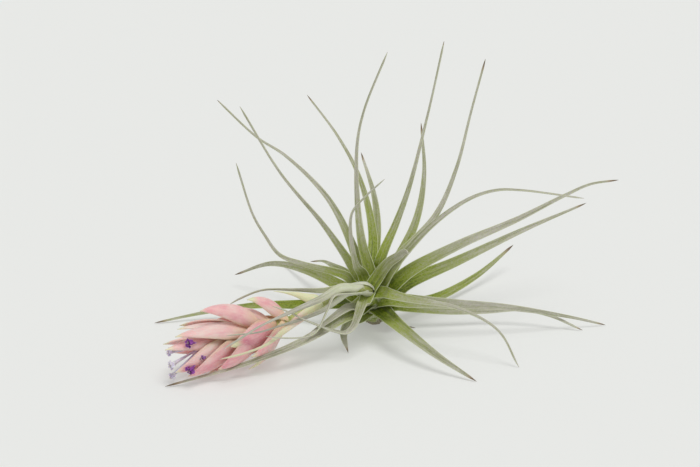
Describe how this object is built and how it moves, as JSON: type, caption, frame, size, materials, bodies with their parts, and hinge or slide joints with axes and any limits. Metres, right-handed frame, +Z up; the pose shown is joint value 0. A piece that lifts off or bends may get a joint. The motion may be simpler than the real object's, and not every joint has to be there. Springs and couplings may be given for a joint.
{
  "type": "air plant in flower",
  "caption": "Air plant in flower, lying on its side: a rosette of narrow channelled silver-green leaves on a short stem, and a leaning head of pink bracts with small purple flowers.",
  "frame": {"origin": "on the table, at the middle of the small flat on which the root end of the stem rests", "axes": "+Z up from the table, +X to the right along the plant's widest spread, +Y away from the side on which the flower head leans out"},
  "size_m": [0.2072, 0.1465, 0.1232],
  "materials": {
    "leaf": "living leaf, matt grey-green under fine silver scales",
    "silver_leaf": "living leaf, matt silver-grey with dense scales",
    "dry_leaf": "dry leaf, matt brown",
    "stem": "woody stem with dry leaf bases, matt",
    "stalk": "living stalk, satin pale green",
    "bract": "soft satin pink with peach base and pale tips",
    "flower": "soft satin purple petals"
  },
  "bodies": {
    "root": {"stem": "stem", "flower_stalk": "stalk", "flower_1": "flower", "flower_2": "flower", "flower_3": "flower", "flower_4": "flower", "flower_5": "flower", "flower_6": "flower", "bract_head": "bract", "stalk_leaf_1_over_head": "silver_leaf", "stalk_leaf_2_along_head": "silver_leaf", "stalk_leaf_3_hanging": "silver_leaf", "stalk_leaf_4_arching": "silver_leaf", "lower_bract_1_green": "stalk", "lower_bract_2_tailed": "silver_leaf", "leaf_01_up_left_long": "leaf", "leaf_02_up_left": "leaf", "leaf_03_left_upturned": "leaf", "leaf_04_left_back_curled": "leaf", "leaf_05_left_arched": "leaf", "leaf_06_left_low": "leaf", "leaf_07_heart_hooked": "silver_leaf", "leaf_08_up": "leaf", "leaf_09_up_back_left": "leaf", "leaf_10_up_back_short": "leaf", "leaf_11_up_long": "leaf", "leaf_12_up_back_right": "leaf", "leaf_13_up_right": "leaf", "leaf_14_heart_folded": "silver_leaf", "leaf_15_right_arching": "leaf", "leaf_16_right_long": "leaf", "leaf_17_right_wide": "leaf", "leaf_18_right_back_short": "leaf", "leaf_19_right_drooping": "leaf", "leaf_20_right_low_long": "leaf", "leaf_21_right_low": "leaf", "leaf_22_front_wide": "leaf", "leaf_23_front_left_short": "leaf", "leaf_24_heart_curled": "silver_leaf", "leaf_25_front_left_long": "leaf", "leaf_26_front_left_stub": "silver_leaf", "leaf_27_dry_root_leaf": "dry_leaf", "leaf_28_back_right": "leaf", "leaf_29_back_left": "leaf", "leaf_30_back": "leaf"}
  },
  "joints": []
}
